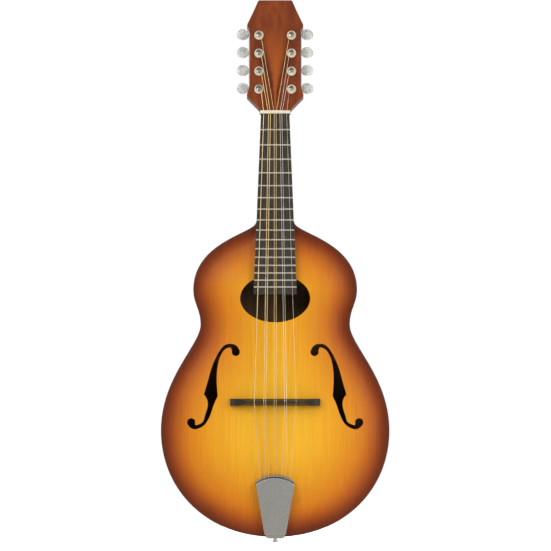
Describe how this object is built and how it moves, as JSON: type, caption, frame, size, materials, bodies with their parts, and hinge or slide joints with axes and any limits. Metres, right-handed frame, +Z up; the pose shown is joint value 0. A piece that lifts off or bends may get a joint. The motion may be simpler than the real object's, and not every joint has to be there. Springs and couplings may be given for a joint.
{
  "type": "mandolin",
  "caption": "Guitar-shaped arched mandolin with oval hole and f-holes, floating bridge, geared tuners with round buttons, and a tailpiece with a sliding cover.",
  "frame": {"origin": "centreline, at the edge of the nut that the strings leave, where the glue face between neck and fingerboard crosses the plane of the body rim; a wall hanger holds the instrument just above it, under the head", "axes": "+Z up along the neck, -Y to the front (the side with the strings), +X to the treble side, which is the right-hand side seen from the front"},
  "size_m": [0.2794, 0.0936, 0.6638],
  "materials": {
    "spruce_top": "thin satin lacquer over a sunburst, amber in the middle and brown at the edge",
    "maple_body": "satin lacquer over a brown stain",
    "inner_wood": "bare, sanded",
    "neck_wood": "satin lacquer over a red-brown stain",
    "head_veneer": "gloss lacquer over a red-brown stain",
    "ebony": "oiled",
    "dark_plastic": "matt",
    "bone": "polished bone",
    "bar_steel": "plain",
    "fret_nickel": "polished nickel silver",
    "string_bronze": "wound bronze",
    "string_steel": "bright plain steel",
    "plate_nickel": "nickel plated, brushed",
    "gear_brass": "machined",
    "post_nickel": "polished nickel",
    "screw_nickel": "nickel plated",
    "button_pearloid": "pale grey pearl",
    "bushing_cream": "cream",
    "tailpiece_nickel": "nickel plated, brushed",
    "pin_nickel": "polished nickel"
  },
  "bodies": {
    "mandolin": {"top_plate": "spruce_top", "back_plate": "maple_body", "rib_bass": "maple_body", "rib_treble": "maple_body", "neck_block": "inner_wood", "tail_block": "inner_wood", "linings": "inner_wood", "top_braces": "inner_wood", "back_braces": "inner_wood", "neck": "neck_wood", "heel_cap": "dark_plastic", "neck_bar": "bar_steel", "head_veneer": "head_veneer", "fingerboard": "ebony", "frets": "fret_nickel", "nut": "bone", "bridge": "ebony", "tailpiece_base": "tailpiece_nickel", "end_pin": "pin_nickel", "tuner_plates": "plate_nickel", "post_bushings": "bushing_cream", "wood_screws": "screw_nickel", "strings_course_1": "string_bronze", "strings_course_2": "string_bronze", "strings_course_3": "string_bronze", "strings_course_4": "string_steel", "strings_course_5": "string_steel"},
    "tail_cover": {"tailpiece_cover": "tailpiece_nickel"},
    "post_bass_1": {"tuner_post_bass_1": "post_nickel", "tuner_gear_bass_1": "gear_brass"},
    "button_bass_1": {"tuner_shaft_bass_1": "plate_nickel", "tuner_button_bass_1": "button_pearloid"},
    "post_bass_2": {"tuner_post_bass_2": "post_nickel", "tuner_gear_bass_2": "gear_brass"},
    "button_bass_2": {"tuner_shaft_bass_2": "plate_nickel", "tuner_button_bass_2": "button_pearloid"},
    "post_bass_3": {"tuner_post_bass_3": "post_nickel", "tuner_gear_bass_3": "gear_brass"},
    "button_bass_3": {"tuner_shaft_bass_3": "plate_nickel", "tuner_button_bass_3": "button_pearloid"},
    "post_bass_4": {"tuner_post_bass_4": "post_nickel", "tuner_gear_bass_4": "gear_brass"},
    "button_bass_4": {"tuner_shaft_bass_4": "plate_nickel", "tuner_button_bass_4": "button_pearloid"},
    "post_treble_1": {"tuner_post_treble_1": "post_nickel", "tuner_gear_treble_1": "gear_brass"},
    "button_treble_1": {"tuner_shaft_treble_1": "plate_nickel", "tuner_button_treble_1": "button_pearloid"},
    "post_treble_2": {"tuner_post_treble_2": "post_nickel", "tuner_gear_treble_2": "gear_brass"},
    "button_treble_2": {"tuner_shaft_treble_2": "plate_nickel", "tuner_button_treble_2": "button_pearloid"},
    "post_treble_3": {"tuner_post_treble_3": "post_nickel", "tuner_gear_treble_3": "gear_brass"},
    "button_treble_3": {"tuner_shaft_treble_3": "plate_nickel", "tuner_button_treble_3": "button_pearloid"},
    "post_treble_4": {"tuner_post_treble_4": "post_nickel", "tuner_gear_treble_4": "gear_brass"},
    "button_treble_4": {"tuner_shaft_treble_4": "plate_nickel", "tuner_button_treble_4": "button_pearloid"}
  },
  "joints": [
    {"name": "button_bass_1_turn", "type": "hinge", "parent": "mandolin", "child": "button_bass_1", "pos_m": [-0.0199, 0.02592, 0.03138], "axis": [1, 0, 0], "continuous": true},
    {"name": "post_bass_1_turn", "type": "hinge", "parent": "mandolin", "child": "post_bass_1", "pos_m": [-0.0199, 0.00764, 0.02966], "axis": [0, -0.9613, 0.2756], "continuous": true},
    {"name": "button_bass_2_turn", "type": "hinge", "parent": "mandolin", "child": "button_bass_2", "pos_m": [-0.0199, 0.03226, 0.05349], "axis": [1, 0, 0], "continuous": true},
    {"name": "post_bass_2_turn", "type": "hinge", "parent": "mandolin", "child": "post_bass_2", "pos_m": [-0.0199, 0.01398, 0.05176], "axis": [0, -0.9613, 0.2756], "continuous": true},
    {"name": "button_bass_3_turn", "type": "hinge", "parent": "mandolin", "child": "button_bass_3", "pos_m": [-0.0199, 0.0386, 0.0756], "axis": [1, 0, 0], "continuous": true},
    {"name": "post_bass_3_turn", "type": "hinge", "parent": "mandolin", "child": "post_bass_3", "pos_m": [-0.0199, 0.02032, 0.07387], "axis": [0, -0.9613, 0.2756], "continuous": true},
    {"name": "button_bass_4_turn", "type": "hinge", "parent": "mandolin", "child": "button_bass_4", "pos_m": [-0.0199, 0.04494, 0.09771], "axis": [1, 0, 0], "continuous": true},
    {"name": "post_bass_4_turn", "type": "hinge", "parent": "mandolin", "child": "post_bass_4", "pos_m": [-0.0199, 0.02666, 0.09598], "axis": [0, -0.9613, 0.2756], "continuous": true},
    {"name": "button_treble_1_turn", "type": "hinge", "parent": "mandolin", "child": "button_treble_1", "pos_m": [0.0199, 0.02592, 0.03138], "axis": [1, 0, 0], "continuous": true},
    {"name": "post_treble_1_turn", "type": "hinge", "parent": "mandolin", "child": "post_treble_1", "pos_m": [0.0199, 0.00764, 0.02966], "axis": [0, -0.9613, 0.2756], "continuous": true},
    {"name": "button_treble_2_turn", "type": "hinge", "parent": "mandolin", "child": "button_treble_2", "pos_m": [0.0199, 0.03226, 0.05349], "axis": [1, 0, 0], "continuous": true},
    {"name": "post_treble_2_turn", "type": "hinge", "parent": "mandolin", "child": "post_treble_2", "pos_m": [0.0199, 0.01398, 0.05176], "axis": [0, -0.9613, 0.2756], "continuous": true},
    {"name": "button_treble_3_turn", "type": "hinge", "parent": "mandolin", "child": "button_treble_3", "pos_m": [0.0199, 0.0386, 0.0756], "axis": [1, 0, 0], "continuous": true},
    {"name": "post_treble_3_turn", "type": "hinge", "parent": "mandolin", "child": "post_treble_3", "pos_m": [0.0199, 0.02032, 0.07387], "axis": [0, -0.9613, 0.2756], "continuous": true},
    {"name": "button_treble_4_turn", "type": "hinge", "parent": "mandolin", "child": "button_treble_4", "pos_m": [0.0199, 0.04494, 0.09771], "axis": [1, 0, 0], "continuous": true},
    {"name": "post_treble_4_turn", "type": "hinge", "parent": "mandolin", "child": "post_treble_4", "pos_m": [0.0199, 0.02666, 0.09598], "axis": [0, -0.9613, 0.2756], "continuous": true},
    {"name": "tail_cover_slide", "type": "slide", "parent": "mandolin", "child": "tail_cover", "axis": [0, 0.1478, -0.989], "range_m": [0, 0.07]}
  ],
  "couplings": [
    {"joint": "post_bass_1_turn", "follows": "button_bass_1_turn", "ratio": 0.066667},
    {"joint": "post_bass_2_turn", "follows": "button_bass_2_turn", "ratio": 0.066667},
    {"joint": "post_bass_3_turn", "follows": "button_bass_3_turn", "ratio": 0.066667},
    {"joint": "post_bass_4_turn", "follows": "button_bass_4_turn", "ratio": 0.066667},
    {"joint": "post_treble_1_turn", "follows": "button_treble_1_turn", "ratio": 0.066667},
    {"joint": "post_treble_2_turn", "follows": "button_treble_2_turn", "ratio": 0.066667},
    {"joint": "post_treble_3_turn", "follows": "button_treble_3_turn", "ratio": 0.066667},
    {"joint": "post_treble_4_turn", "follows": "button_treble_4_turn", "ratio": 0.066667}
  ]
}
